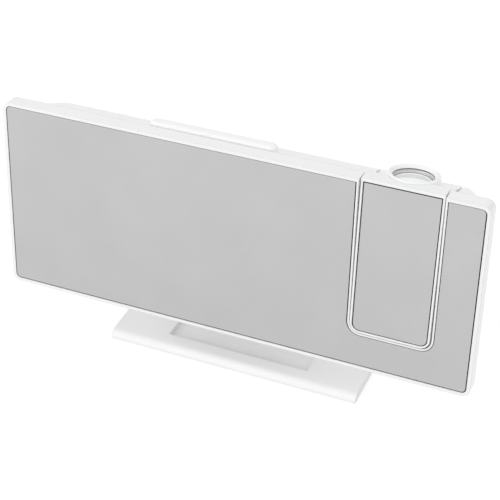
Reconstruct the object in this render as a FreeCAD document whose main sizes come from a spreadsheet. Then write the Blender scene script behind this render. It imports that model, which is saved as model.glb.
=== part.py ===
import FreeCAD, Part
import math
import os
import re
from types import SimpleNamespace

import Sketcher
from FreeCAD import Placement, Rotation, Vector

# A mirror-faced projection alarm clock. Lengths are millimetres and angles are degrees.
# The clock's own pieces are drawn in the face frame: the origin is the middle of the mirror's front,
# X runs to the viewer's right, Y goes back through the clock and Z runs up along the face.

# Driving sizes

SIZES = {
    # front face and its frame
    "face_wide": 204.2,
    "face_tall": 84.2,
    "frame_deep": 6.6,
    "corner_round": 3.5,
    "rim_wide": 1.45,
    "web_thick": 1.6,
    "mirror_thick": 1.1,
    "mirror_sunk": 0.25,
    "mirror_gap": 0.15,
    "mirror_round": 2.0,
    # rear casing, whose sides draw in towards the back
    "case_step": 2.8,
    "case_deep": 28.0,
    "case_end_draw": 10.6,
    "case_top_draw": 5.6,
    "case_wall": 1.8,
    "case_round": 4.0,
    # projector arm and the notch that it swings in
    "arm_end": 34.0,
    "arm_wide": 32.7,
    "arm_foot": 17.2,
    "arm_round": 4.0,
    "arm_gap": 0.5,
    "arm_sweep_gap": 0.4,
    "arm_step": 0.5,
    "arm_rim": 0.85,
    "arm_wall": 1.6,
    "arm_back_round": 2.5,
    "arm_turn": 1.7,
    "notch_rim": 0.8,
    "notch_wall": 2.0,
    "pivot_high": 8.0,
    # arm hinge
    "pin_radius": 3.0,
    "pin_play": 0.05,
    "pin_long": 3.8,
    "pin_flange": 4.5,
    "flange_thick": 1.2,
    "lead_hole": 1.6,
    "bush_radius": 4.5,
    "bush_long": 4.0,
    "boss_wall": 2.0,
    "washer_radius": 6.0,
    "washer_play": 0.1,
    # projection optics, measured down from the lip of the focus ring
    "ring_deep": 13.3,
    "ring_drop": 0.3,
    "lens_tilt": 4.8,
    "ring_radius": 10.35,
    "ring_tall": 7.0,
    "ring_lip": 9.1,
    "ring_mouth": 8.0,
    "ring_funnel": 1.0,
    "ring_shelf": 0.5,
    "ring_round": 1.0,
    "lip_round": 0.5,
    "ring_gap": 0.3,
    "barrel_radius": 9.3,
    "barrel_wall": 1.05,
    "turn_play": 0.05,
    "barrel_tall": 11.5,
    "seat_gap": 0.3,
    "barrel_seat_thick": 1.3,
    "ledge_wide": 1.7,
    "ledge_tall": 2.0,
    "cell_tall": 5.6,
    "cell_wall": 0.5,
    "cell_step": 0.8,
    "lens_edge": 1.6,
    "lens_crown": 0.9,
    "lens_travel": 0.75,
    "housing_wide": 19.0,
    "housing_deep": 14.0,
    "housing_tall": 21.5,
    "housing_wall": 2.0,
    "slide_thick": 1.1,
    "slide_drop": 10.5,
    "condenser_thick": 4.2,
    "condenser_crown": 1.4,
    "condenser_drop": 14.5,
    "optic_play": 0.1,
    "lamp_size": 3.5,
    "lamp_tall": 1.0,
    "sink_base": 1.4,
    "sink_tall": 6.0,
    "fin_thick": 1.1,
    "fin_count": 6,
    # snooze bar
    "snooze_shift": 6.7,
    "snooze_long": 54.5,
    "snooze_front": 8.2,
    "snooze_deep": 6.0,
    "snooze_proud": 0.6,
    "snooze_tall": 8.8,
    "snooze_flange": 1.0,
    "snooze_round": 1.6,
    "snooze_travel": 1.2,
    "snooze_board_long": 32.0,
    "snooze_board_deep": 9.0,
    "shelf_wide": 4.0,
    "shelf_inset": 2.0,
    "shelf_deep": 12.0,
    "press_gap": 0.3,
    # buttons on the back
    "button_radius": 4.0,
    "button_proud": 1.0,
    "button_high": 18.0,
    "button_shift": 7.5,
    "button_pitch": 15.0,
    "button_travel": 0.8,
    "button_flange": 1.0,
    "key_board_half": 5.0,
    "key_size": 6.0,
    "key_tall": 3.5,
    "key_pip": 1.4,
    "key_pip_tall": 0.9,
    "travel_spare": 0.1,
    # display
    "window_end": 26.1,
    "window_side": 15.75,
    "window_sill": 20.1,
    "reflector_lap": 2.0,
    "reflector_thick": 6.0,
    "diffuser_thick": 1.0,
    "digit_tall": 34.0,
    "digit_wide": 19.0,
    "digit_margin": 4.1,
    "segment_wide": 3.2,
    "segment_gap": 0.8,
    "chip_size": 2.0,
    "chip_tall": 0.8,
    # circuit boards and what is on them
    "board_thick": 1.6,
    "main_gap": 3.5,
    "main_end": 14.0,
    "main_side": 4.0,
    "main_inset": 4.7,
    "main_tall": 31.0,
    "header_in": 30.0,
    "header_long": 30.0,
    "header_rise": 8.0,
    "header_tall": 2.5,
    "clock_chip_in": 34.0,
    "clock_chip_wide": 12.0,
    "clock_chip_drop": 2.0,
    "clock_chip_tall": 10.0,
    "clock_chip_thick": 1.8,
    "buzzer_radius": 6.0,
    "buzzer_tall": 5.5,
    "buzzer_hole": 1.0,
    "buzzer_in": 26.0,
    "socket_low": 17.0,
    "outlet_in": 11.0,
    "outlet_wide": 14.4,
    "outlet_tall": 7.0,
    "outlet_wall": 0.6,
    "inlet_in": 30.0,
    "inlet_wide": 9.0,
    "inlet_tall": 3.4,
    "inlet_wall": 0.35,
    "socket_floor": 2.0,
    "socket_sunk": 0.4,
    "socket_gap": 0.3,
    # backup cell and its door
    "cell_radius": 10.0,
    "cell_thick": 3.2,
    "cell_play": 0.15,
    "cell_rim": 1.0,
    "cell_lid": 0.64,
    "cell_end": 22.7,
    "cell_low": 4.0,
    "cell_rise": 2.6,
    "door_wide": 24.0,
    "door_tall": 30.0,
    "door_gap": 0.2,
    "tray_lap": 2.0,
    "tray_floor": 1.2,
    "grip_drop": 4.0,
    "grip_tall": 1.6,
    # case screws
    "post_radius": 3.2,
    "post_end": 20.1,
    "post_side": 8.25,
    "post_inset": 6.7,
    "post_split": 16.0,
    "arm_post_gap": 1.2,
    "arm_post_rise": 8.0,
    "arm_post_split": 14.0,
    "screw_radius": 1.1,
    "screw_slip": 0.25,
    "screw_head": 2.3,
    "screw_head_tall": 1.5,
    "screw_bite": 8.0,
    "head_sunk": 0.6,
    # vents
    "vent_count": 7,
    "vent_wide": 1.5,
    "vent_tall": 12.0,
    "vent_pitch": 3.6,
    "vent_drop": 13.0,
    # stand
    "lean": 6.3,
    "face_lift": 14.85,
    "plate_wide": 111.4,
    "plate_deep": 50.0,
    "plate_thick": 3.45,
    "plate_round": 3.1,
    "plate_front": 4.85,
    "recess_wide": 63.4,
    "recess_front": 7.9,
    "recess_back": 20.1,
    "recess_sunk": 2.3,
    "neck_wide": 58.0,
    "neck_thick": 6.0,
    "neck_foot": 9.5,
    "neck_foot_thick": 1.2,
    "tongue_wide": 40.0,
    "tongue_thick": 4.0,
    "tongue_reach": 2.7,
    "tongue_play": 0.15,
    "stand_screw_side": 20.0,
    "stand_screw_long": 1.9,
    "foot_radius": 5.0,
    "foot_thick": 1.0,
    "foot_proud": 0.3,
    "foot_inset": 8.5,
}

size = SimpleNamespace(**SIZES)

# Sizes that follow from the driving ones, in the same sheet so that features can be bound to them

FOLLOWING = {}
DIGIT_STEPS = (-1.6, -0.6, 0.6, 1.6)


def follow(**rules):
    """keep sizes that follow from those before them"""
    for name, number in rules.items():
        FOLLOWING[name] = number
        setattr(size, name, number)


# planes through the clock, from the front
follow(
    pivot_deep=size.case_deep / 2,
    mirror_back=size.mirror_sunk + size.mirror_thick,
    back_inside=size.case_deep - size.case_wall,
)
follow(web_back=size.mirror_back + size.web_thick)
follow(reflector_back=size.web_back + size.reflector_thick)
follow(display_back=size.reflector_back + size.board_thick)
follow(main_front=size.display_back + size.main_gap)
follow(main_back=size.main_front + size.board_thick)

# half sizes of the casing where it meets the frame, and at its back
follow(
    case_half_wide=size.face_wide / 2 - size.case_step,
    case_half_tall=size.face_tall / 2 - size.case_step,
)
follow(
    back_half_wide=size.case_half_wide - size.case_end_draw,
    back_half_tall=size.case_half_tall - size.case_top_draw,
)

# the arm, in from the face's right end; it and its notch are round about the pivot below, out to the
# far corner of the arm's lower half
follow(
    arm_middle=size.face_wide / 2 - size.arm_end,
    arm_low=size.face_tall / 2 - size.arm_foot,
    ring_high=size.face_tall / 2 - size.ring_drop,
)
follow(
    arm_reach=math.hypot(size.arm_low + size.pivot_high, size.pivot_deep),
    arm_left=size.arm_middle - size.arm_wide / 2,
    arm_inside=size.arm_wide / 2 - size.arm_step - size.arm_wall,
    arm_post_low=size.arm_low - size.arm_post_rise,
)
follow(
    arm_post_side=size.arm_inside - size.post_radius - size.arm_post_gap,
    barrel_seat_wide=2 * (size.arm_inside - size.seat_gap),
)

# the display between the face's left end and the arm, and what is set out from it
follow(window_left=size.window_end - size.face_wide / 2, window_right=size.arm_left - size.window_side)
follow(
    display_middle=(size.window_left + size.window_right) / 2,
    window_half=size.face_tall / 2 - size.window_sill,
    digit_pitch=((size.window_right - size.window_left - 2 * size.digit_margin - size.digit_wide)
                 / (DIGIT_STEPS[-1] - DIGIT_STEPS[0])),
    main_left=size.window_left + size.main_end,
    main_right=size.window_right - size.main_side,
    main_bottom=size.main_inset - size.back_half_tall,
    post_left=size.post_end - size.face_wide / 2,
    post_right=size.arm_left - size.post_side,
    post_high=size.back_half_tall - size.post_inset,
    cell_at=size.cell_end - size.back_half_wide,
    cell_high=-size.cell_low,
)
follow(
    main_top=size.main_bottom + size.main_tall,
    buzzer_at=size.main_left + size.buzzer_in,
    outlet_at=size.main_right - size.outlet_in,
    inlet_at=size.main_right - size.inlet_in,
    socket_high=-size.socket_low,
    vent_low=-size.vent_drop,
)

# the buttons and the bar on top, each over the board that its switch stands on
follow(
    snooze_middle=size.display_middle + size.snooze_shift,
    snooze_high=size.face_tall / 2 + size.snooze_proud,
    button_middle=size.display_middle + size.button_shift,
    button_foot=size.back_inside - size.press_gap - size.button_flange,
)
follow(snooze_foot=size.snooze_high - size.snooze_tall)
follow(
    key_board_back=(size.button_foot - size.button_travel - size.travel_spare - size.key_pip_tall
                    - size.key_tall),
    snooze_board_top=(size.snooze_foot - size.snooze_travel - size.travel_spare - size.key_pip_tall
                      - size.key_tall),
)

# the optics
follow(
    lens_drop=size.ring_funnel + size.ring_shelf + size.lens_travel + size.turn_play,
    lens_radius=size.barrel_radius - size.barrel_wall - size.turn_play - size.cell_wall,
    condenser_radius=size.housing_deep / 2 - size.housing_wall - size.optic_play,
)
follow(
    lens_sphere=(size.lens_radius ** 2 + size.lens_crown ** 2) / (2 * size.lens_crown),
    condenser_sphere=((size.condenser_radius ** 2 + size.condenser_crown ** 2)
                      / (2 * size.condenser_crown)),
)

# the stand
follow(
    centre_high=size.foot_proud + size.plate_thick + size.face_lift + size.face_tall / 2,
    centre_back=size.plate_front - size.plate_deep / 2,
    tongue_top=size.back_half_tall - size.tongue_reach,
)

doc = FreeCAD.newDocument("projection_alarm_clock")
sheet = doc.addObject("Spreadsheet::Sheet", "Sizes")
for row, (name, number) in enumerate({**SIZES, **FOLLOWING}.items(), start=1):
    sheet.set(f"A{row}", name)
    sheet.set(f"B{row}", repr(number))
    sheet.setAlias(f"B{row}", name)
doc.recompute()

# Placements: the stand's frame is the table, the face frame leans back on the stand, the arm is
# turned a little about its hinge, and the optics tilt back inside the arm

STAND = Placement()
LEAN = Rotation(Vector(1, 0, 0), -size.lean)
CLOCK = Placement(Vector(0, size.centre_back, size.centre_high), LEAN)
PIVOT = Vector(size.arm_middle, size.pivot_deep, size.pivot_high)
ARM_SWING = Placement(Vector(0, 0, 0), Rotation(Vector(1, 0, 0), -size.arm_turn), PIVOT)
ARM = CLOCK.multiply(ARM_SWING)
RING_SPOT = Vector(size.arm_middle, size.ring_deep, size.ring_high)
OPTICS_IN_ARM = Placement(RING_SPOT, Rotation(Vector(1, 0, 0), -size.lens_tilt))
OPTICS = ARM.multiply(OPTICS_IN_ARM)

ALONG = {
    "x": Rotation(Vector(0, 1, 0), 90),
    "-x": Rotation(Vector(0, 1, 0), -90),
    "y": Rotation(Vector(1, 0, 0), -90),
    "z": Rotation(),
}

nodes = []
ALIAS = re.compile(r"\b(" + "|".join([*SIZES, *FOLLOWING]) + r")\b")


def bind(item, rules):
    """tie properties of an object to expressions in the sheet's sizes"""
    for path, rule in rules.items():
        item.setExpression(path, ALIAS.sub(r"Sizes.\1", str(rule)))


def spot(frame, x, y, z, turn=ALONG["z"]):
    """a place in a frame, with a turn there"""
    return frame.multiply(Placement(Vector(x, y, z), turn))


def keep(item, label, frame):
    """make an object one of the clock's pieces"""
    item.Label = label
    item.Placement = frame
    nodes.append(item)
    return item


# Primitives and booleans


def block(name, x, y, z):
    """a box between pairs of bounds"""
    item = doc.addObject("Part::Box", name)
    bind(item, {
        "Length": f"({x[1]}) - ({x[0]})",
        "Width": f"({y[1]}) - ({y[0]})",
        "Height": f"({z[1]}) - ({z[0]})",
        "Placement.Base.x": x[0],
        "Placement.Base.y": y[0],
        "Placement.Base.z": z[0],
    })
    return item


def rod(name, along, start, radius, length):
    """a cylinder from a starting point along an axis"""
    item = doc.addObject("Part::Cylinder", name)
    item.Placement = Placement(Vector(), ALONG[along])
    bind(item, {
        "Radius": radius,
        "Height": length,
        "Placement.Base.x": start[0],
        "Placement.Base.y": start[1],
        "Placement.Base.z": start[2],
    })
    return item


def frustum(name, near, far, front_half, back_half):
    """a block whose sides draw in towards the back"""
    item = doc.addObject("Part::Wedge", name)
    bind(item, {
        "Ymin": near, "Ymax": far,
        "Xmin": f"-({front_half[0]})", "Xmax": front_half[0],
        "Zmin": f"-({front_half[1]})", "Zmax": front_half[1],
        "X2min": f"-({back_half[0]})", "X2max": back_half[0],
        "Z2min": f"-({back_half[1]})", "Z2max": back_half[1],
    })
    return item


def joined(name, items):
    """several shapes made one, or kept as a group if they are apart"""
    item = doc.addObject("Part::MultiFuse", name)
    item.Shapes = items
    return item


def group(name, items):
    """separate solids in one piece, such as a set of screws"""
    item = doc.addObject("Part::Compound", name)
    item.Links = items
    return item


def carried(name, item, frame):
    """a shape drawn in one frame and set in another"""
    holder = group(name, [item])
    holder.Placement = frame
    return holder


def cut_away(name, base, tools):
    """a shape less the tools"""
    item = doc.addObject("Part::Cut", name)
    item.Base = base
    item.Tool = tools[0] if len(tools) == 1 else joined(f"{name}_tools", tools)
    return item


def shared(name, first, second):
    """what two shapes have in common"""
    item = doc.addObject("Part::Common", name)
    item.Base = first
    item.Tool = second
    return item


def eased(name, base, radius, wanted):
    """the wanted edges of a shape rounded"""
    doc.recompute()
    item = doc.addObject("Part::Fillet", name)
    item.Base = base
    numbers = [number for number, edge in enumerate(base.Shape.Edges, start=1) if wanted(edge)]
    item.Edges = [(number, radius, radius) for number in numbers]
    return item


def runs(edge, axis):
    """whether an edge is straight along an axis"""
    if edge.Curve.TypeId != "Part::GeomLine":
        return False
    across = [edge.BoundBox.XLength, edge.BoundBox.YLength, edge.BoundBox.ZLength]
    return max(length for place, length in enumerate(across) if place != "xyz".index(axis)) < 1e-6


# Bodies drawn from sketches


def body(label, frame):
    """a new body, one of the clock's pieces"""
    item = doc.addObject("PartDesign::Body", label)
    return keep(item, label, frame)


def sketch(owner, name, plane, start="0"):
    """an empty sketch on one of a body's own planes, some way off it"""
    planes = {feature.Role: feature for feature in owner.Origin.OriginFeatures}
    drawing = owner.newObject("Sketcher::SketchObject", f"{owner.Label}_{name}")
    drawing.AttachmentSupport = (planes[f"{plane}_Plane"], [""])
    drawing.MapMode = "FlatFace"
    sign = "-" if plane == "XZ" else ""
    bind(drawing, {"AttachmentOffset.Base.z": f"{sign}({start})"})
    return drawing


def outline(owner, name, plane, corners, start="0"):
    """a closed sketch of straight lines whose corners are tied to sizes"""
    drawing = sketch(owner, name, plane, start)
    count = len(corners)
    turn = 2 * math.pi / count
    guess = [Vector(math.cos(turn * place), math.sin(turn * place)) for place in range(count)]
    for place in range(count):
        line = Part.LineSegment(guess[place], guess[(place + 1) % count])
        drawing.addGeometry(line, False)
    for place in range(count):
        drawing.addConstraint(Sketcher.Constraint("Coincident", place, 2, (place + 1) % count, 1))
    for place, corner in enumerate(corners):
        now = (guess[place].x, guess[place].y)
        for direction, rule, first in zip(("DistanceX", "DistanceY"), corner, now):
            number = drawing.addConstraint(Sketcher.Constraint(direction, -1, 1, place, 1, first))
            bind(drawing, {f"Constraints[{number}]": rule})
    return drawing


def circles(owner, name, plane, discs, start="0"):
    """a sketch of circles, each with its middle and radius tied to sizes"""
    drawing = sketch(owner, name, plane, start)
    for place, disc in enumerate(discs):
        drawing.addGeometry(Part.Circle(Vector(0, 0, 0), Vector(0, 0, 1), 1.0), False)
        rules = (
            ("DistanceX", (-1, 1, place, 3), disc[0]),
            ("DistanceY", (-1, 1, place, 3), disc[1]),
            ("Radius", (place,), disc[2]),
        )
        for kind, anchors, rule in rules:
            number = drawing.addConstraint(Sketcher.Constraint(kind, *anchors, 1.0))
            bind(drawing, {f"Constraints[{number}]": rule})
    return drawing


def rectangle(x, z):
    """the corners of a rectangle between pairs of bounds"""
    return [(x[0], z[0]), (x[1], z[0]), (x[1], z[1]), (x[0], z[1])]


def pad(owner, drawing, length):
    """material added on the far side of the sketch: back, up or to the right"""
    feature = owner.newObject("PartDesign::Pad", f"{drawing.Name}_pad")
    feature.Profile = drawing
    feature.Reversed = "XZ_Plane" in drawing.AttachmentSupport[0][0].Role
    bind(feature, {"Length": length})
    return feature


def pocket(owner, drawing, length):
    """material taken away on the far side of the sketch: back, up or to the right"""
    doc.recompute()
    before = owner.Shape.Volume
    feature = owner.newObject("PartDesign::Pocket", f"{drawing.Name}_pocket")
    feature.Profile = drawing
    feature.Reversed = "XZ_Plane" not in drawing.AttachmentSupport[0][0].Role
    bind(feature, {"Length": length})
    doc.recompute()
    if owner.Shape.Volume >= before:
        raise RuntimeError(f"{drawing.Name} cuts nothing")
    return feature


def turned(label, frame, profile):
    """a body turned about its own Z axis from a profile of radius and height"""
    item = body(label, frame)
    drawing = outline(item, "profile", "XZ", profile)
    feature = item.newObject("PartDesign::Revolution", f"{label}_turned")
    feature.Profile = drawing
    feature.ReferenceAxis = (drawing, ["V_Axis"])
    feature.Angle = 360
    return item


def slab(label, frame, x, y, z):
    """a body that is one flat plate, drawn face on and padded back"""
    item = body(label, frame)
    pad(item, outline(item, "face", "XZ", rectangle(x, z), y[0]), f"({y[1]}) - ({y[0]})")
    return item


def soften(owner, name, radius, wanted):
    """round the wanted edges of a body"""
    doc.recompute()
    tip = owner.Tip
    names = [f"Edge{number}" for number, edge in enumerate(tip.Shape.Edges, start=1) if wanted(edge)]
    feature = owner.newObject("PartDesign::Fillet", f"{owner.Label}_{name}")
    feature.Base = (tip, names)
    bind(feature, {"Radius": radius})
    return feature


# Shapes that the frame, the casing and the arm share


def swing_block(name, side, reach, corner, top):
    """the arm's own form: straight above its pivot, round about the pivot below, corners rounded"""
    half = f"arm_wide / 2 + ({side})"
    drum = rod(f"{name}_drum", "x", (f"arm_middle - ({half})", "pivot_deep", "pivot_high"),
               f"arm_reach + ({reach})", f"2 * ({half})")
    doc.recompute()
    rim = drum.Radius.Value

    def is_rim(edge):
        return edge.Curve.TypeId == "Part::GeomCircle" and abs(edge.Curve.Radius - rim) < 1e-6

    soft_drum = eased(f"{name}_soft_drum", drum, corner, is_rim)
    upper = block(f"{name}_upper", (f"arm_middle - ({half})", f"arm_middle + ({half})"),
                  ("pivot_deep - arm_reach / 2", "pivot_deep + arm_reach / 2"), ("pivot_high", top))
    lower = block(f"{name}_lower", (f"arm_middle - ({half})", f"arm_middle + ({half})"),
                  ("pivot_deep - 2 * arm_reach", "pivot_deep + 2 * arm_reach"),
                  ("pivot_high - 2 * arm_reach", "pivot_high"))
    return joined(name, [upper, shared(f"{name}_belly", soft_drum, lower)])


def notch(name, grow="0", grow_now=0.0):
    """the notch that the arm swings in, grown by a wall"""
    return swing_block(name, f"arm_gap + {grow}", f"arm_sweep_gap + {grow}",
                       size.arm_round + size.arm_gap + grow_now, "face_tall")


def screw_heads(name, spots, post, foot):
    """screws with their heads in the back wall, and their threads in the posts"""
    screws = []
    for place, (x, z) in enumerate(spots):
        head_top = f"{foot} - head_sunk"
        head = rod(f"{name}_{place}_head", "y", (x, f"{head_top} - screw_head_tall", z),
                   "screw_head", "screw_head_tall")
        shank = rod(f"{name}_{place}_shank", "y", (x, f"{post} - screw_bite", z),
                    "screw_radius", f"{head_top} - screw_head_tall / 2 - ({post} - screw_bite)")
        drive = block(f"{name}_{place}_drive", (f"({x}) - screw_radius", f"({x}) + screw_radius"),
                      (f"{head_top} - screw_head_tall / 2", f"{head_top} + 1"),
                      (f"({z}) - screw_radius / 4", f"({z}) + screw_radius / 4"))
        cross = block(f"{name}_{place}_cross", (f"({x}) - screw_radius / 4", f"({x}) + screw_radius / 4"),
                      (f"{head_top} - screw_head_tall / 2", f"{head_top} + 1"),
                      (f"({z}) - screw_radius", f"({z}) + screw_radius"))
        whole = joined(f"{name}_{place}_whole", [head, shank])
        screws.append(cut_away(f"{name}_{place}", whole, [drive, cross]))
    return group(name, screws)


CASE_SPOTS = [(x, z) for x in ("post_left", "post_right") for z in ("-post_high", "post_high")]
ARM_SPOTS = [(f"arm_middle + ({side})", "-arm_post_low") for side in ("-arm_post_side", "arm_post_side")]


# Front frame, mirror and display


def front_bezel():
    """the white frame: a pocket for the mirror, a window for the digits, and the arm's notch"""
    half_wide = "face_wide / 2"
    half_tall = "face_tall / 2"
    plain = block("bezel_block", (f"-{half_wide}", half_wide), ("0", "frame_deep"),
                  (f"-{half_tall}", half_tall))
    outer = eased("bezel_outer", plain, size.corner_round, lambda edge: runs(edge, "y"))
    seat = block("bezel_seat", (f"-({half_wide} - rim_wide)", f"{half_wide} - rim_wide"),
                 ("-1", "mirror_back"), (f"-({half_tall} - rim_wide)", f"{half_tall} - rim_wide"))
    soft_seat = eased("bezel_soft_seat", seat, size.mirror_round + size.mirror_gap,
                      lambda edge: runs(edge, "y"))
    seat_cut = cut_away("bezel_seat_cut", soft_seat, [notch("bezel_rim", "notch_rim", size.notch_rim)])
    window = block("bezel_window", ("window_left", "window_right"), ("0", "frame_deep"),
                   ("-window_half", "window_half"))
    hollow = block("bezel_hollow", ("-(case_half_wide - case_wall)", "case_half_wide - case_wall"),
                   ("web_back", "frame_deep + 1"),
                   ("-(case_half_tall - case_wall)", "case_half_tall - case_wall"))
    hollow_cut = cut_away("bezel_hollow_cut", hollow, [notch("bezel_wall", "notch_wall", size.notch_wall)])
    gap = notch("bezel_notch")
    frame = cut_away("bezel_frame", outer, [seat_cut, window, hollow_cut, gap])
    posts = [rod(f"bezel_post_{place}", "y", (x, "mirror_back + web_thick / 2", z), "post_radius",
                 "post_split - mirror_back - web_thick / 2") for place, (x, z) in enumerate(CASE_SPOTS)]
    far = "(snooze_board_long / 2 - shelf_inset)"
    shelves = [block(f"bezel_shelf_{place}", (x, f"{x} + shelf_wide"),
                     ("mirror_back + web_thick / 2", "shelf_deep"),
                     ("snooze_board_top - 2 * board_thick", "snooze_board_top - board_thick"))
               for place, x in enumerate((f"snooze_middle - {far}", f"snooze_middle + {far} - shelf_wide"))]
    whole = joined("bezel_whole", [frame, *posts, *shelves])
    pilots = [rod(f"bezel_pilot_{place}", "y", (x, "post_split - screw_bite", z), "screw_radius",
                  "screw_bite + 1") for place, (x, z) in enumerate(CASE_SPOTS)]
    keep(cut_away("bezel", whole, pilots), "front_bezel", CLOCK)


def mirror_panel():
    """one sheet of mirrored acrylic round three sides of the arm"""
    half_wide = "(face_wide / 2 - rim_wide - mirror_gap)"
    half_tall = "(face_tall / 2 - rim_wide - mirror_gap)"
    plain = block("mirror_block", (f"-{half_wide}", half_wide), ("mirror_sunk", "mirror_back"),
                  (f"-{half_tall}", half_tall))
    soft = eased("mirror_soft", plain, size.mirror_round, lambda edge: runs(edge, "y"))
    gap = notch("mirror_notch", "notch_rim + mirror_gap", size.notch_rim + size.mirror_gap)
    keep(cut_away("mirror", soft, [gap]), "mirror_panel", CLOCK)


def digit_segments(name, middle):
    """the seven bars of one digit"""
    half_wide = "(digit_wide - segment_wide) / 2"
    half_tall = "(digit_tall - segment_wide) / 2"
    bars = []
    for place, z in enumerate((f"-({half_tall})", "0", half_tall)):
        bars.append(((f"{middle} - {half_wide} + segment_gap + segment_wide / 2",
                      f"{middle} + {half_wide} - segment_gap - segment_wide / 2"),
                     (f"{z} - segment_wide / 2", f"{z} + segment_wide / 2")))
    for side in ("-", "+"):
        x = f"{middle} {side} {half_wide}"
        for low, high in ((f"-({half_tall})", "0"), ("0", half_tall)):
            bars.append(((f"{x} - segment_wide / 2", f"{x} + segment_wide / 2"),
                         (f"{low} + segment_gap + segment_wide / 2",
                          f"{high} - segment_gap - segment_wide / 2")))
    return [block(f"{name}_{place}", x, ("web_back - 1", "reflector_back + 1"), z)
            for place, (x, z) in enumerate(bars)]


DIGITS = [f"display_middle + ({step}) * digit_pitch" for step in DIGIT_STEPS]
DOTS = [("display_middle", f"{side}digit_tall / 6") for side in ("-", "+")]


def display():
    """diffuser in the window, reflector with the digits' cells, and the board with its lamps"""
    slab("display_diffuser", CLOCK, ("window_left + mirror_gap", "window_right - mirror_gap"),
         ("web_back - diffuser_thick", "web_back"),
         ("-(window_half - mirror_gap)", "window_half - mirror_gap"))
    x = ("window_left - reflector_lap", "window_right + reflector_lap")
    z = ("-(window_half + reflector_lap)", "window_half + reflector_lap")
    tray = block("reflector_block", x, ("web_back", "reflector_back"), z)
    cells = []
    for place, middle in enumerate(DIGITS):
        cells.extend(digit_segments(f"digit_{place}", middle))
    for place, (dot_x, dot_z) in enumerate(DOTS):
        cells.append(rod(f"dot_{place}", "y", (dot_x, "web_back - 1", dot_z), "segment_wide / 2",
                         "reflector_thick + 2"))
    keep(cut_away("reflector", tray, cells), "display_reflector", CLOCK)
    slab("display_board", CLOCK, x, ("reflector_back", "display_back"), z)
    chips = []
    for middle in DIGITS:
        for chip_x in ("-", "+"):
            for chip_z in ("-", "+"):
                side = f"{middle} {chip_x} (digit_wide - segment_wide) / 2"
                high = f"{chip_z}(digit_tall - segment_wide) / 4"
                chips.append((side, high))
        for chip_z in ("-(digit_tall - segment_wide) / 2", "0", "(digit_tall - segment_wide) / 2"):
            chips.append((middle, chip_z))
    chips.extend(DOTS)
    blocks = [block(f"chip_{place}", (f"{x} - chip_size / 2", f"{x} + chip_size / 2"),
                    ("reflector_back - chip_tall", "reflector_back"),
                    (f"{z} - chip_size / 2", f"{z} + chip_size / 2"))
              for place, (x, z) in enumerate(chips)]
    keep(group("display_chips", blocks), "display_leds", CLOCK)


# Rear casing and what it carries

SNOOZE_X = ("(snooze_middle - snooze_long / 2)", "(snooze_middle + snooze_long / 2)")
BUTTON_NAMES = ("set_button", "alarm_button", "down_button", "up_button", "projector_button",
                "dimmer_button")
BUTTON_STEPS = [place - (len(BUTTON_NAMES) - 1) / 2 for place in range(len(BUTTON_NAMES))]
BUTTONS = [f"(button_middle + ({step}) * button_pitch)" for step in BUTTON_STEPS]
BUTTON_POSTS = [f"(button_middle {side} {BUTTON_STEPS[-1] + 0.7} * button_pitch)" for side in ("-", "+")]
DOOR_X = ("(cell_at - door_wide / 2)", "(cell_at + door_wide / 2)")
DOOR_Z = ("(cell_high - door_tall / 2)", "(cell_high + door_tall / 2)")
SOCKETS = (("outlet", "outlet_at", "outlet_wide", "outlet_tall"),
           ("inlet", "inlet_at", "inlet_wide", "inlet_tall"))
NECK_Y = ("(recess_back - plate_deep / 2)", "(recess_back - plate_deep / 2 + neck_thick)")


def grown(bounds, by):
    """a pair of bounds moved apart"""
    return (f"{bounds[0]} - {by}", f"{bounds[1]} + {by}")


def tongue(name, play):
    """the stand's tongue up into the casing, grown by a play"""
    front = f"({NECK_Y[0]} + (neck_thick - tongue_thick) / 2)"
    return block(name, grown(("-tongue_wide / 2", "tongue_wide / 2"), play),
                 grown((front, f"{front} + tongue_thick"), play),
                 ("foot_proud + plate_thick", f"centre_high - tongue_top + {play}"))


def case_form(name, near, wall, step):
    """the casing's outer form, or its hollow when a wall is given"""
    lean = f"({step}) / (case_deep - frame_deep)"
    back = f"{wall} / (case_deep - frame_deep)"
    return frustum(name, near, f"case_deep - {wall}",
                   (f"case_half_wide - {wall} + case_end_draw * {lean}",
                    f"case_half_tall - {wall} + case_top_draw * {lean}"),
                   (f"back_half_wide - {wall} + case_end_draw * {back}",
                    f"back_half_tall - {wall} + case_top_draw * {back}"))


def case_posts():
    """what stands inside the back shell: screw posts, hinge bosses and the key board's posts"""
    posts = [rod(f"case_post_{place}", "y", (x, "post_split", z), "post_radius",
                 "case_deep - case_wall / 2 - post_split") for place, (x, z) in enumerate(CASE_SPOTS)]
    wall = "(arm_wide / 2 + arm_gap + notch_wall / 2)"
    boss = "(bush_long - notch_wall / 2)"
    for side, start in (("left", f"arm_middle - {wall} - {boss}"), ("right", f"arm_middle + {wall}")):
        posts.append(rod(f"case_boss_{side}", "x", (start, "pivot_deep", "pivot_high"),
                         "bush_radius + boss_wall", boss))
    for place, x in enumerate(BUTTON_POSTS):
        posts.append(rod(f"case_key_post_{place}", "y", (x, "key_board_back", "button_high"),
                         "post_radius", "case_deep - case_wall / 2 - key_board_back"))
    return posts


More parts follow.
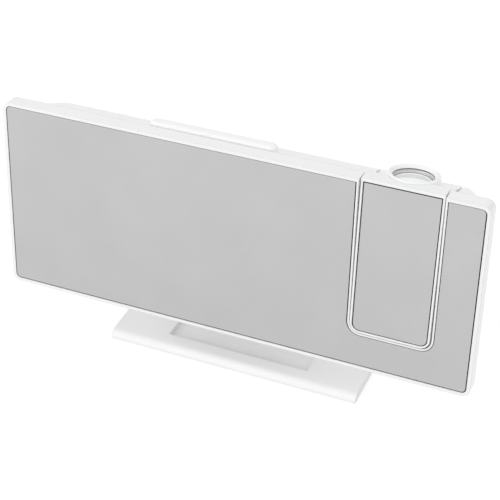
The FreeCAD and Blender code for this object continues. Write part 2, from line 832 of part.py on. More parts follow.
def case_openings():
    """what goes through the back shell"""
    cutters = [notch("case_notch")]
    wall = "(arm_wide / 2 + arm_gap)"
    for side, start in (("left", f"arm_middle - {wall} - bush_long"), ("right", f"arm_middle + {wall}")):
        cutters.append(rod(f"case_bush_{side}", "x", (start, "pivot_deep", "pivot_high"), "bush_radius",
                           "bush_long"))
    for place, (x, z) in enumerate(CASE_SPOTS):
        cutters.append(rod(f"case_slip_{place}", "y", (x, "post_split - 1", z),
                           "screw_radius + screw_slip", "case_deep"))
        cutters.append(rod(f"case_head_{place}", "y", (x, "case_deep - head_sunk - screw_head_tall", z),
                           "screw_head + screw_slip", "case_deep"))
    through = ("back_inside - 1", "case_deep + 1")
    for place, x in enumerate(BUTTONS):
        cutters.append(rod(f"case_key_{place}", "y", (x, through[0], "button_high"),
                           "button_radius + press_gap", "case_wall + 2"))
    cutters.append(block("case_snooze", grown(SNOOZE_X, "press_gap"),
                         ("snooze_front - press_gap", "snooze_front + snooze_deep + press_gap"),
                         ("snooze_foot", "face_tall")))
    cutters.append(block("case_door", grown(DOOR_X, "door_gap"), through, grown(DOOR_Z, "door_gap")))
    for name, at, wide, tall in SOCKETS:
        x = (f"{at} - {wide} / 2", f"{at} + {wide} / 2")
        z = (f"socket_high - {tall} / 2", f"socket_high + {tall} / 2")
        cutters.append(block(f"case_{name}", grown(x, "socket_gap"), through, grown(z, "socket_gap")))
    for place in range(int(size.vent_count)):
        middle = f"buzzer_at + ({place} - (vent_count - 1) / 2) * vent_pitch"
        x = (f"{middle} - vent_wide / 2", f"{middle} + vent_wide / 2")
        cutters.append(block(f"case_vent_{place}", x, through,
                             ("vent_low - vent_tall / 2", "vent_low + vent_tall / 2")))
    cutters.append(carried("case_tongue_slot", tongue("case_tongue_form", "tongue_play"), CLOCK.inverse()))
    return cutters


def rear_casing():
    """the white back shell, drawn in towards the back"""
    plain = case_form("case_block", "frame_deep", "0", "0")
    outer = eased("case_outer", plain, size.case_round,
                  lambda edge: edge.BoundBox.YMax > size.frame_deep + 1)
    hollow = case_form("case_hollow", "frame_deep - 1", "case_wall", "1")
    wall = notch("case_wall_form", "notch_wall", size.notch_wall)
    hollow_cut = cut_away("case_hollow_cut", hollow, [wall])
    shell = cut_away("case_shell", outer, [hollow_cut])
    whole = joined("case_whole", [shell, *case_posts()])
    keep(cut_away("case", whole, case_openings()), "rear_casing", CLOCK)


def backup_cell():
    """tray behind the back wall, coin cell, door and the screw that a coin cell's door needs"""
    cell_z = "(cell_high + cell_rise)"
    screw_z = "(cell_high - door_tall / 2 + screw_head + screw_slip)"
    depth = "(cell_thick + cell_play)"
    tray = block("tray_block", grown(DOOR_X, "tray_lap"),
                 (f"back_inside - {depth} - tray_floor", "back_inside"), grown(DOOR_Z, "tray_lap"))
    seat = rod("tray_seat", "y", ("cell_at", f"back_inside - {depth}", cell_z), "cell_radius + cell_play",
               "case_deep")
    pilot = rod("tray_pilot", "y", ("cell_at", f"back_inside - {depth}", screw_z), "screw_radius",
                "case_deep")
    keep(cut_away("tray", tray, [seat, pilot]), "cell_tray", CLOCK)
    cell = [("0", "0"), ("cell_radius", "0"), ("cell_radius", "cell_thick - cell_lid"),
            ("cell_radius - cell_rim", "cell_thick - cell_lid"), ("cell_radius - cell_rim", "cell_thick"),
            ("0", "cell_thick")]
    turned("coin_cell", spot(CLOCK, size.cell_at, size.back_inside - size.cell_thick - size.cell_play,
                             size.cell_high + size.cell_rise, ALONG["y"]), cell)
    door = block("door_block", DOOR_X, ("back_inside", "case_deep"), DOOR_Z)
    slip = rod("door_slip", "y", ("cell_at", "0", screw_z), "screw_radius", "face_wide")
    sink = rod("door_sink", "y", ("cell_at", "back_inside + case_wall / 2", screw_z),
               "screw_head", "face_wide")
    grip = block("door_grip", ("cell_at - door_wide / 4", "cell_at + door_wide / 4"),
                 ("case_deep - case_wall / 3", "face_wide"),
                 (f"{DOOR_Z[1]} - grip_drop", f"{DOOR_Z[1]} - grip_drop + grip_tall"))
    keep(cut_away("door", door, [slip, sink, grip]), "cell_door", CLOCK)
    head = rod("door_screw_head", "y", ("cell_at", "back_inside + case_wall / 2", screw_z),
               "screw_head", "case_wall / 3")
    shank = rod("door_screw_shank", "y", ("cell_at", "back_inside - cell_thick", screw_z),
                "screw_radius", "cell_thick + case_wall / 2")
    cross = block("door_screw_slot", ("cell_at - screw_radius", "cell_at + screw_radius"),
                  ("back_inside + case_wall * 2 / 3", "case_deep"),
                  (f"{screw_z} - screw_radius / 4", f"{screw_z} + screw_radius / 4"))
    whole = joined("door_screw_whole", [head, shank])
    keep(cut_away("door_screw", whole, [cross]), "cell_door_screw", CLOCK)


def snooze():
    """the long press bar on top, with the board and switch under it"""
    bar = body("snooze_bar", CLOCK)
    across = ("snooze_front", "snooze_front + snooze_deep")
    pad(bar, outline(bar, "plan", "XY", rectangle(SNOOZE_X, across), "snooze_foot"),
        "snooze_high - snooze_foot")
    top = size.snooze_high - 1e-3
    soften(bar, "ends", "snooze_deep / 2 - 0.05", lambda edge: runs(edge, "z"))
    soften(bar, "crown", "snooze_round", lambda edge: edge.BoundBox.ZMin > top)
    pad(bar, outline(bar, "flange", "XY", rectangle(grown(SNOOZE_X, "snooze_flange"),
                                                  grown(across, "snooze_flange")), "snooze_foot"),
        "snooze_flange")
    middle = "(snooze_front + snooze_deep / 2)"
    slab("snooze_board", CLOCK,
         ("snooze_middle - snooze_board_long / 2", "snooze_middle + snooze_board_long / 2"),
         (f"{middle} - snooze_board_deep / 2", f"{middle} + snooze_board_deep / 2"),
         ("snooze_board_top - board_thick", "snooze_board_top"))
    key = block("snooze_key_block", ("snooze_middle - key_size / 2", "snooze_middle + key_size / 2"),
                (f"{middle} - key_size / 2", f"{middle} + key_size / 2"),
                ("snooze_board_top", "snooze_board_top + key_tall"))
    pip = rod("snooze_key_pip", "z", ("snooze_middle", middle, "snooze_board_top"), "key_pip",
              "key_tall + key_pip_tall")
    keep(joined("snooze_key", [key, pip]), "snooze_switch", CLOCK)


def back_buttons():
    """six round buttons through the back, their board and their switches"""
    for label, step in zip(BUTTON_NAMES, BUTTON_STEPS):
        x_now = size.button_middle + step * size.button_pitch
        profile = [("0", "0"), ("button_radius + button_flange", "0"),
                   ("button_radius + button_flange", "button_flange"), ("button_radius", "button_flange"),
                   ("button_radius", "case_deep + button_proud - button_foot"),
                   ("0", "case_deep + button_proud - button_foot")]
        button = turned(label, spot(CLOCK, x_now, size.button_foot, size.button_high, ALONG["y"]), profile)
        top = size.case_deep + size.button_proud - size.button_foot - 1e-3
        soften(button, "crown", "button_proud / 2", lambda edge: edge.BoundBox.ZMin > top)
    left = f"{BUTTON_POSTS[0]} - post_radius"
    right = f"{BUTTON_POSTS[1]} + post_radius"
    slab("button_board", CLOCK, (left, right), ("key_board_back - board_thick", "key_board_back"),
         ("button_high - key_board_half", "button_high + key_board_half"))
    keys = []
    for place, x in enumerate(BUTTONS):
        keys.append(block(f"key_{place}", (f"{x} - key_size / 2", f"{x} + key_size / 2"),
                          ("key_board_back", "key_board_back + key_tall"),
                          ("button_high - key_size / 2", "button_high + key_size / 2")))
        keys.append(rod(f"key_pip_{place}", "y", (x, "key_board_back", "button_high"), "key_pip",
                        "key_tall + key_pip_tall"))
    keep(joined("keys", keys), "button_switches", CLOCK)


def main_board():
    """the board with the clock's chip, buzzer and sockets, on a pin header behind the display"""
    slab("main_board", CLOCK, ("main_left", "main_right"), ("main_front", "main_back"),
         ("main_bottom", "main_top"))
    slab("board_header", CLOCK, ("main_left + header_in", "main_left + header_in + header_long"),
         ("display_back", "main_front"),
         ("main_bottom + header_rise", "main_bottom + header_rise + header_tall"))
    slab("clock_chip", CLOCK, ("main_left + clock_chip_in", "main_left + clock_chip_in + clock_chip_wide"),
         ("main_back", "main_back + clock_chip_thick"),
         ("main_top - clock_chip_drop - clock_chip_tall", "main_top - clock_chip_drop"))
    can = [("buzzer_hole", "0"), ("buzzer_radius", "0"), ("buzzer_radius", "buzzer_tall"),
           ("buzzer_hole", "buzzer_tall")]
    turned("buzzer", spot(CLOCK, size.buzzer_at, size.main_back, size.vent_low, ALONG["y"]), can)
    for name, at, wide, tall in SOCKETS:
        wall = f"{name}_wall"
        x = (f"{at} - {wide} / 2", f"{at} + {wide} / 2")
        z = (f"socket_high - {tall} / 2", f"socket_high + {tall} / 2")
        shell = block(f"{name}_block", x, ("main_back", "case_deep - socket_sunk"), z)
        mouth = block(f"{name}_mouth", (f"{x[0]} + {wall}", f"{x[1]} - {wall}"),
                      ("main_back + socket_floor", "case_deep"), (f"{z[0]} + {wall}", f"{z[1]} - {wall}"))
        blade = block(f"{name}_blade", (f"{at} - {wide} / 3", f"{at} + {wide} / 3"),
                      ("main_back + socket_floor / 2", "case_deep - socket_sunk - 1"),
                      (f"socket_high - {tall} / 10", f"socket_high + {tall} / 10"))
        hollow = cut_away(f"{name}_shell", shell, [mouth])
        keep(joined(f"{name}_whole", [hollow, blade]), f"power_{name}", CLOCK)


# The arm's hinge


def arm_hinge():
    """on each side: a bush in the casing, a friction washer in the gap, and the arm's stub pin"""
    bore = "pin_radius + pin_play"
    bush = [(bore, "0"), ("bush_radius", "0"), ("bush_radius", "bush_long"), (bore, "bush_long")]
    thick = "arm_step + arm_gap - 2 * washer_play"
    washer = [(bore, "0"), ("washer_radius", "0"), ("washer_radius", thick), (bore, thick)]
    end = "arm_wall + arm_step + arm_gap + pin_long"
    shell = size.arm_wide / 2 - size.arm_step
    for side, sign in (("left", -1), ("right", 1)):
        way = ALONG["-x"] if sign < 0 else ALONG["x"]
        turned(f"hinge_bush_{side}",
               spot(CLOCK, size.arm_middle + sign * (size.arm_wide / 2 + size.arm_gap), size.pivot_deep,
                    size.pivot_high, way), bush)
        turned(f"friction_washer_{side}",
               spot(CLOCK, size.arm_middle + sign * (shell + size.washer_play), size.pivot_deep,
                    size.pivot_high, way), washer)
        middle = "lead_hole" if side == "left" else "0"
        pin = [(middle, "-flange_thick"), ("pin_flange", "-flange_thick"), ("pin_flange", "0"),
               ("pin_radius", "0"), ("pin_radius", end), (middle, end)]
        turned(f"hinge_pin_{side}",
               spot(ARM, size.arm_middle + sign * (shell - size.arm_wall), size.pivot_deep,
                    size.pivot_high, way), pin)


# The projector arm


def tilted_rod(name, radius, top, bottom):
    """a rod round the lens axis, between two drops below the ring's lip, set in the arm"""
    form = rod(f"{name}_form", "z", ("0", "0", f"-({bottom})"), radius, f"{bottom} - ({top})")
    return carried(name, form, OPTICS_IN_ARM)


def tilted_ledge(name, side):
    """a ledge on a side wall of the arm, square to the lens axis, that the lens barrel's seat rests on"""
    wall = "(arm_wide / 2 - arm_step - arm_wall / 2)"
    edge = f"({wall} - arm_wall / 2 - ledge_wide)"
    x = (f"-{wall}", f"-{edge}") if side == "left" else (edge, wall)
    form = block(f"{name}_form", x, ("-barrel_radius / 2", "barrel_radius / 2"),
                 ("-barrel_tall - ledge_tall", "-barrel_tall"))
    return carried(name, form, OPTICS_IN_ARM)


def arm_front_frame():
    """the arm's white front frame, with a pocket for its own mirror"""
    form = swing_block("arm_form", "0", "0", size.arm_round, "face_tall / 2")
    layer = block("arm_layer", ("0", "face_wide"), ("0", "frame_deep"), ("-face_tall", "face_tall"))
    outer = shared("arm_outer", form, layer)
    half = "(arm_wide / 2 - arm_rim - mirror_gap)"
    seat = block("arm_seat", grown((f"arm_middle - {half}", f"arm_middle + {half}"), "mirror_gap"),
                 ("-1", "mirror_back"), ("-(arm_low - arm_rim)", "face_tall / 2 - rim_wide"))
    soft_seat = eased("arm_soft_seat", seat, size.arm_round - size.arm_rim,
                      lambda edge: runs(edge, "y") and edge.BoundBox.ZMax < 0)
    inner = swing_block("arm_inner", "-arm_step - arm_wall", "-arm_step - arm_wall",
                        size.arm_round - size.arm_step - size.arm_wall, "case_half_tall - arm_wall")
    behind = block("arm_behind", ("0", "face_wide"), ("web_back", "frame_deep + 1"),
                   ("-face_tall", "face_tall"))
    frame = cut_away("arm_frame_shell", outer, [soft_seat, shared("arm_hollow", inner, behind)])
    posts = [rod(f"arm_post_{place}", "y", (x, "mirror_back + web_thick / 2", z), "post_radius",
                 "arm_post_split - mirror_back - web_thick / 2") for place, (x, z) in enumerate(ARM_SPOTS)]
    pilots = [rod(f"arm_pilot_{place}", "y", (x, "arm_post_split - screw_bite", z), "screw_radius",
                  "screw_bite + 1") for place, (x, z) in enumerate(ARM_SPOTS)]
    scallop = tilted_rod("arm_scallop", "ring_radius + ring_gap", "-ring_tall", "ring_tall + ring_gap")
    whole = joined("arm_frame_whole", [frame, *posts])
    keep(cut_away("arm_frame", whole, [*pilots, scallop]), "arm_front_frame", ARM)


def arm_mirror():
    """the arm's own sheet of mirrored acrylic"""
    half = "(arm_wide / 2 - arm_rim - mirror_gap)"
    plain = block("arm_mirror_block", (f"arm_middle - {half}", f"arm_middle + {half}"),
                  ("mirror_sunk", "mirror_back"),
                  ("-(arm_low - arm_rim - mirror_gap)", "face_tall / 2 - rim_wide - mirror_gap"))
    radius = size.arm_round - size.arm_rim - size.mirror_gap
    keep(eased("arm_mirror_soft", plain, radius, lambda edge: runs(edge, "y") and edge.BoundBox.ZMax < 0),
         "arm_mirror", ARM)


def arm_rear_shell():
    """the arm's back half, whose top slopes like the casing's"""
    form = swing_block("arm_back_form", "-arm_step", "-arm_step", size.arm_round - size.arm_step,
                       "face_tall / 2")
    slope = frustum("arm_back_slope", "frame_deep", "case_deep", ("face_wide", "case_half_tall"),
                    ("face_wide", "back_half_tall"))
    outer = shared("arm_back_outer", form, slope)
    soft = eased("arm_back_soft", outer, size.arm_back_round,
                 lambda edge: edge.BoundBox.YMin > size.case_deep - 1e-3)
    inner = swing_block("arm_back_inner", "-arm_step - arm_wall", "-arm_step - arm_wall",
                        size.arm_round - size.arm_step - size.arm_wall, "face_tall / 2")
    draw = "case_top_draw / (case_deep - frame_deep)"
    hollow = frustum("arm_back_hollow", "frame_deep - 1", "case_deep - arm_wall",
                     ("face_wide", f"case_half_tall - arm_wall + {draw}"),
                     ("face_wide", f"back_half_tall - arm_wall + arm_wall * {draw}"))
    shell = cut_away("arm_back_shell", soft, [shared("arm_back_room", inner, hollow)])
    posts = [rod(f"arm_back_post_{place}", "y", (x, "arm_post_split", z), "post_radius",
                 "case_deep - arm_wall / 2 - arm_post_split") for place, (x, z) in enumerate(ARM_SPOTS)]
    ledges = [tilted_ledge(f"arm_ledge_{side}", side) for side in ("left", "right")]
    whole = joined("arm_back_whole", [shell, *posts, *ledges])
    cutters = [rod("arm_pin_holes", "x", ("arm_middle - arm_wide", "pivot_deep", "pivot_high"),
                   "pin_radius", "2 * arm_wide")]
    for place, (x, z) in enumerate(ARM_SPOTS):
        cutters.append(rod(f"arm_slip_{place}", "y", (x, "arm_post_split - 1", z),
                           "screw_radius + screw_slip", "case_deep"))
        cutters.append(rod(f"arm_head_{place}", "y", (x, "case_deep - head_sunk - screw_head_tall", z),
                           "screw_head + screw_slip", "case_deep"))
    cutters.append(tilted_rod("arm_ring_hole", "ring_radius + ring_gap", "-ring_tall",
                              "barrel_tall - barrel_seat_thick - ring_gap"))
    keep(cut_away("arm_back", whole, cutters), "arm_rear_shell", ARM)


# The optics, drawn down from the focus ring's lip


def focus_ring():
    """the white ring on top of the arm, which turns on the barrel to focus"""
    shelf = "-ring_funnel - ring_shelf"
    bore = "barrel_radius + turn_play"
    ring = turned("focus_ring", OPTICS, [
        ("ring_mouth", "-ring_funnel"), ("ring_lip", "0"), ("ring_radius", "0"),
        ("ring_radius", "-ring_tall"), (bore, "-ring_tall"), (bore, shelf), ("ring_mouth", shelf)])
    soften(ring, "lip", "ring_round", lambda edge: edge.BoundBox.ZMin > -1e-3
           and edge.BoundBox.XLength > 2 * size.ring_radius - 1e-3)
    soften(ring, "inner_lip", "lip_round", lambda edge: edge.BoundBox.ZMin > -1e-3
           and edge.BoundBox.XLength < 2 * size.ring_lip + 1e-3)
    soften(ring, "mouth", "ring_shelf / 2", lambda edge: abs(edge.BoundBox.ZMin + size.ring_funnel) < 1e-3
           and edge.BoundBox.XLength < 2 * size.ring_mouth + 1e-3)


def lens_barrel():
    """the fixed tube that the focus ring turns on, with the seat that holds it in the arm"""
    bore = "barrel_radius - barrel_wall"
    top = "-(ring_funnel + ring_shelf + ring_gap)"
    barrel = turned("lens_barrel", OPTICS, [
        (bore, top), ("barrel_radius", top), ("barrel_radius", "-barrel_tall"), (bore, "-barrel_tall")])
    seat = rectangle(("-barrel_seat_wide / 2", "barrel_seat_wide / 2"),
                     ("-barrel_radius", "barrel_radius"))
    pad(barrel, outline(barrel, "seat", "XY", seat, "-barrel_tall"), "barrel_seat_thick")
    pocket(barrel, circles(barrel, "bore", "XY", [("0", "0", bore)], "-barrel_tall - 1"), "barrel_tall")


def lens_and_cell():
    """the projection lens and the dark cell that carries it up and down in the barrel"""
    outer = "barrel_radius - barrel_wall - turn_play"
    turned("lens_cell", OPTICS, [
        ("lens_radius", "-lens_drop"), (outer, "-lens_drop"), (outer, "-lens_drop - cell_tall"),
        ("lens_radius - cell_step", "-lens_drop - cell_tall"),
        ("lens_radius - cell_step", "-lens_drop - lens_edge"), ("lens_radius", "-lens_drop - lens_edge")])
    disc = rod("lens_disc", "z", ("0", "0", "-lens_drop - lens_edge"), "lens_radius",
               "lens_edge + lens_crown")
    ball = doc.addObject("Part::Sphere", "lens_ball")
    bind(ball, {"Radius": "lens_sphere", "Placement.Base.z": "-lens_drop + lens_crown - lens_sphere"})
    keep(shared("lens_form", disc, ball), "projection_lens", OPTICS)


def lamp_house():
    """the square tube under the barrel with the image slide and condenser, and the lamp at its foot"""
    half_wide = "housing_wide / 2"
    half_deep = "housing_deep / 2"
    span = ("-barrel_tall - housing_tall", "-barrel_tall")
    tube = block("housing_block", (f"-{half_wide}", half_wide), (f"-{half_deep}", half_deep), span)
    inside_x = (f"-({half_wide} - housing_wall)", f"{half_wide} - housing_wall")
    inside_y = (f"-({half_deep} - housing_wall)", f"{half_deep} - housing_wall")
    room = block("housing_room", inside_x, inside_y, grown(span, "1"))
    keep(cut_away("housing", tube, [room]), "lamp_housing", OPTICS)
    slide_top = "-barrel_tall - slide_drop"
    slide = body("image_slide", OPTICS)
    shrunk_x = (f"{inside_x[0]} + optic_play", f"{inside_x[1]} - optic_play")
    shrunk_y = (f"{inside_y[0]} + optic_play", f"{inside_y[1]} - optic_play")
    pad(slide, outline(slide, "plan", "XY", rectangle(shrunk_x, shrunk_y), f"{slide_top} - slide_thick"),
        "slide_thick")
    foot = "-barrel_tall - condenser_drop - condenser_thick"
    disc = rod("condenser_disc", "z", ("0", "0", foot), "condenser_radius", "condenser_thick")
    ball = doc.addObject("Part::Sphere", "condenser_ball")
    bind(ball, {"Radius": "condenser_sphere",
                "Placement.Base.z": f"{foot} + condenser_thick - condenser_sphere"})
    keep(shared("condenser_form", disc, ball), "condenser_lens", OPTICS)
    lamp = body("projector_led", OPTICS)
    pad(lamp, outline(lamp, "plan", "XY", rectangle(("-lamp_size / 2", "lamp_size / 2"),
                                                  ("-lamp_size / 2", "lamp_size / 2")), span[0]),
        "lamp_tall")
    plate = body("projector_board", OPTICS)
    pad(plate, outline(plate, "plan", "XY", rectangle((f"-{half_wide}", half_wide),
                                                    (f"-{half_deep}", half_deep)),
                       f"{span[0]} - board_thick"), "board_thick")
    top = f"{span[0]} - board_thick"
    base = block("sink_plate", inside_x, inside_y, (f"{top} - sink_base", top))
    fins = []
    for place in range(int(size.fin_count)):
        step = "(housing_wide - 2 * housing_wall - fin_thick) / (fin_count - 1)"
        left = f"{inside_x[0]} + {place} * {step}"
        fins.append(block(f"sink_fin_{place}", (left, f"{left} + fin_thick"), inside_y,
                          (f"{top} - sink_tall", top)))
    keep(joined("sink", [base, *fins]), "heat_sink", OPTICS)


# The stand


def stand():
    """plate on the table, neck through it into the casing, screws from below and rubber feet"""
    half_wide = "plate_wide / 2"
    half_deep = "plate_deep / 2"
    plate = body("stand_plate", STAND)
    pad(plate, outline(plate, "plan", "XY", rectangle((f"-{half_wide}", half_wide),
                                                    (f"-{half_deep}", half_deep)), "foot_proud"),
        "plate_thick")
    top = size.foot_proud + size.plate_thick - 1e-3
    soften(plate, "edges", "plate_round", lambda edge: runs(edge, "x") and edge.BoundBox.ZMin > top)
    recess_y = (f"recess_front - {half_deep}", f"recess_back - {half_deep}")
    recess = rectangle(("-recess_wide / 2", "recess_wide / 2"), recess_y)
    pocket(plate, outline(plate, "recess", "XY", recess, "foot_proud + plate_thick - recess_sunk"),
           "plate_thick")
    neck_x = ("-neck_wide / 2", "neck_wide / 2")
    pocket(plate, outline(plate, "neck_slot", "XY", rectangle(neck_x, NECK_Y)), "2 * plate_thick")
    foot_y = (NECK_Y[0], f"{NECK_Y[1]} + neck_foot")
    pocket(plate, outline(plate, "foot_seat", "XY", rectangle(neck_x, foot_y)),
           "foot_proud + neck_foot_thick")
    screw_y = f"{NECK_Y[1]} + neck_foot / 2"
    spots = [(f"{side}stand_screw_side", screw_y) for side in ("-", "")]
    pocket(plate, circles(plate, "screw_holes", "XY", [(x, y, "screw_radius") for x, y in spots]),
           "foot_proud + neck_foot_thick + stand_screw_long")
    pads = [(f"{side_x}({half_wide} - foot_inset)", f"{side_y}({half_deep} - foot_inset)")
            for side_x in ("-", "") for side_y in ("-", "")]
    pocket(plate, circles(plate, "foot_seats", "XY", [(x, y, "foot_radius") for x, y in pads]),
           "foot_thick")
    feet = [rod(f"foot_{place}", "z", (x, y, "0"), "foot_radius", "foot_thick")
            for place, (x, y) in enumerate(pads)]
    keep(group("feet", feet), "rubber_feet", STAND)

    blade = block("neck_blade", neck_x, NECK_Y, ("foot_proud", "centre_high"))
    hull = carried("neck_hull", case_form("neck_hull_form", "frame_deep", "0", "0"), CLOCK)
    trimmed = cut_away("neck_trimmed", blade, [hull])
    below = block("neck_below", ("-face_wide", "face_wide"), ("-face_wide", "face_wide"),
                  ("0", "centre_high - back_half_tall - neck_thick / 8"))
    stem = shared("neck_stem", trimmed, below)
    flange = block("neck_flange", neck_x, foot_y, ("foot_proud", "foot_proud + neck_foot_thick"))
    whole = joined("neck_whole", [stem, flange, tongue("neck_tongue", "0")])
    sinks = []
    screws = []
    for place, (x, y) in enumerate(spots):
        for name, items in (("sink", sinks), ("head", screws)):
            cone = doc.addObject("Part::Cone", f"stand_{name}_{place}")
            bind(cone, {"Radius1": "screw_head", "Radius2": "screw_radius", "Height": "neck_foot_thick",
                        "Placement.Base.x": x, "Placement.Base.y": y, "Placement.Base.z": "foot_proud"})
            items.append(cone)
        shank = rod(f"stand_shank_{place}", "z", (x, y, "foot_proud + neck_foot_thick / 2"), "screw_radius",
                    "neck_foot_thick / 2 + stand_screw_long")
        cross = block(f"stand_cross_{place}", grown((x, x), "screw_radius"),
                      grown((y, y), "screw_radius / 4"), ("0", "foot_proud + neck_foot_thick / 3"))
        screws[-1] = cut_away(f"stand_screw_{place}", joined(f"stand_screw_whole_{place}",
                                                             [screws[-1], shank]), [cross])
    keep(cut_away("neck", whole, sinks), "stand_neck", STAND)
    keep(group("neck_screws", screws), "stand_screws", STAND)


# Every piece, then a check of each, then the files

front_bezel()
mirror_panel()
display()
rear_casing()
backup_cell()
snooze()
back_buttons()
main_board()
arm_hinge()
arm_front_frame()
arm_mirror()
arm_rear_shell()
focus_ring()
lens_barrel()
lens_and_cell()
lamp_house()
stand()
keep(screw_heads("case_screw", CASE_SPOTS, "post_split", "case_deep"), "case_screws", CLOCK)
keep(screw_heads("arm_screw", ARM_SPOTS, "arm_post_split", "case_deep"), "arm_screws", ARM)

doc.recompute()

for item in doc.Objects:
    if "Invalid" in item.State or "Error" in item.State:
        raise RuntimeError(f"{item.Name} did not recompute")

os.makedirs("parts", exist_ok=True)
for item in nodes:
    shape = item.Shape
    if shape.isNull() or not shape.isValid() or not shape.Solids:
        raise RuntimeError(f"{item.Label} has no sound shape")
    shape.exportStep(f"parts/{item.Label}.step")
    print(f"{item.Label}: {len(shape.Solids)} solids, {shape.Volume:.1f} mm3")
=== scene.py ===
import math

import bmesh
import bpy
from mathutils import Matrix, Vector


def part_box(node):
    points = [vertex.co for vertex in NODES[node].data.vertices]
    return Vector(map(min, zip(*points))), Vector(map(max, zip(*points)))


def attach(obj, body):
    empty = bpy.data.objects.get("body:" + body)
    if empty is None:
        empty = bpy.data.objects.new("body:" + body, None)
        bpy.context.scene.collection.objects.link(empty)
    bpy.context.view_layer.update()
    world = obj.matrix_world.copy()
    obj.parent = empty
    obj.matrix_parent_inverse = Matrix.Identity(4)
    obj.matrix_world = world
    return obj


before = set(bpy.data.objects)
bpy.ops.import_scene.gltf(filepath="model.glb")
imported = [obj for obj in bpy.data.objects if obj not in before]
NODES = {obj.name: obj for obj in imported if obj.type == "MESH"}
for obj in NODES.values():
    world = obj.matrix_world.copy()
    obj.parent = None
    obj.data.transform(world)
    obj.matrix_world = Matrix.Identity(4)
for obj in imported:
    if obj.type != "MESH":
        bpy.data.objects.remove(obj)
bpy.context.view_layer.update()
MM = 0.001

# Frames: the face frame leans back on the stand, and the arm is turned a little about its hinge

LEAN = math.radians(6.3)
ARM_TURN = math.radians(1.7)
LENS_TILT = math.radians(4.8)
FACE_SPOT = Vector((0, -20.15 * MM, 60.7 * MM))
PIVOT = Vector((68.1 * MM, 14.0 * MM, 8.0 * MM))
RING_SPOT = Vector((68.1 * MM, 13.3 * MM, 41.8 * MM))
CLOCK = Matrix.Translation(FACE_SPOT) @ Matrix.Rotation(-LEAN, 4, "X")
ARM = (CLOCK @ Matrix.Translation(PIVOT) @ Matrix.Rotation(-ARM_TURN, 4, "X")
       @ Matrix.Translation(-PIVOT))
OPTICS = ARM @ Matrix.Translation(RING_SPOT) @ Matrix.Rotation(-LENS_TILT, 4, "X")


# Small helpers for node trees

GREY_STEPS = 255
# Nearly all of a noise lies between these two values
NOISE_LOW = 0.3
NOISE_HIGH = 0.7


def linear(value):
    """a grey given as 0 to 255 in a picture, as the number that a shader takes"""
    part = value / GREY_STEPS
    return part / 12.92 if part <= 0.04045 else ((part + 0.055) / 1.055) ** 2.4


def tone(red, green=None, blue=None):
    """a colour given as 0 to 255 in a picture, or one grey"""
    green = red if green is None else green
    blue = red if blue is None else blue
    return (linear(red), linear(green), linear(blue), 1.0)


def add(tree, kind, **settings):
    """a node with its settings"""
    node = tree.nodes.new(kind)
    for key, value in settings.items():
        setattr(node, key, value)
    return node


def math_node(tree, operation, first, second):
    """an operation on two values, each a socket or a number"""
    node = add(tree, "ShaderNodeMath", operation=operation)
    for place, value in enumerate((first, second)):
        if isinstance(value, (int, float)):
            node.inputs[place].default_value = value
        else:
            tree.links.new(value, node.inputs[place])
    return node.outputs[0]


def spread(tree, value, low, high, to_low, to_high):
    """a value carried from one range to another"""
    node = add(tree, "ShaderNodeMapRange")
    tree.links.new(value, node.inputs["Value"])
    numbers = {"From Min": low, "From Max": high, "To Min": to_low, "To Max": to_high}
    for name, number in numbers.items():
        if isinstance(number, (int, float)):
            node.inputs[name].default_value = number
        else:
            tree.links.new(number, node.inputs[name])
    return node.outputs["Result"]


def uneven(tree, value, to_low, to_high):
    """a noise carried to a range of its own"""
    return spread(tree, value, NOISE_LOW, NOISE_HIGH, to_low, to_high)


def noise(tree, place, scale, detail=2.0, rough=0.5):
    """a noise at a scale given in patches per metre"""
    node = add(tree, "ShaderNodeTexNoise")
    node.inputs["Scale"].default_value = scale
    node.inputs["Detail"].default_value = detail
    node.inputs["Roughness"].default_value = rough
    tree.links.new(place, node.inputs["Vector"])
    return node.outputs["Fac"]


def new_group(name, inputs, outputs):
    """an empty node group with its sockets, and its two end nodes"""
    tree = bpy.data.node_groups.new(name, "ShaderNodeTree")
    for socket, number in inputs:
        made = tree.interface.new_socket(socket, in_out="INPUT", socket_type="NodeSocketFloat")
        made.default_value = number
    for socket, kind in outputs:
        tree.interface.new_socket(socket, in_out="OUTPUT", socket_type=kind)
    return tree, tree.nodes.new("NodeGroupInput"), tree.nodes.new("NodeGroupOutput")


# Effects that several materials share. The scales are in patches per metre

BUMP_HEIGHT = 0.02 * MM
FILM_HEIGHT = 0.1 * MM
FLOW_SCALE = 26.0
LINE_SCALE = (150.0, 5200.0, 5200.0)
PATCH_SCALE = 42.0
FLECK_SCALE = 900.0
FLECK_SHARE = 0.15


def moulded_effect():
    """the faint flow, grain and softened edges of moulded plastic"""
    tree, given, made = new_group(
        "moulded", [("Grain", 2600.0), ("Depth", 0.04), ("Edge", 0.3)],
        [("Flow", "NodeSocketFloat"), ("Grain", "NodeSocketFloat"), ("Normal", "NodeSocketVector")])
    place = add(tree, "ShaderNodeTexCoord").outputs["Object"]
    flow = noise(tree, place, FLOW_SCALE, 3.0)
    grain = add(tree, "ShaderNodeTexNoise")
    grain.inputs["Detail"].default_value = 3.0
    tree.links.new(place, grain.inputs["Vector"])
    tree.links.new(given.outputs["Grain"], grain.inputs["Scale"])
    soft = add(tree, "ShaderNodeBevel", samples=4)
    tree.links.new(math_node(tree, "MULTIPLY", given.outputs["Edge"], MM), soft.inputs["Radius"])
    bump = add(tree, "ShaderNodeBump")
    bump.inputs["Distance"].default_value = BUMP_HEIGHT
    tree.links.new(given.outputs["Depth"], bump.inputs["Strength"])
    tree.links.new(grain.outputs["Fac"], bump.inputs["Height"])
    tree.links.new(soft.outputs["Normal"], bump.inputs["Normal"])
    tree.links.new(flow, made.inputs["Flow"])
    tree.links.new(grain.outputs["Fac"], made.inputs["Grain"])
    tree.links.new(bump.outputs["Normal"], made.inputs["Normal"])
    return tree


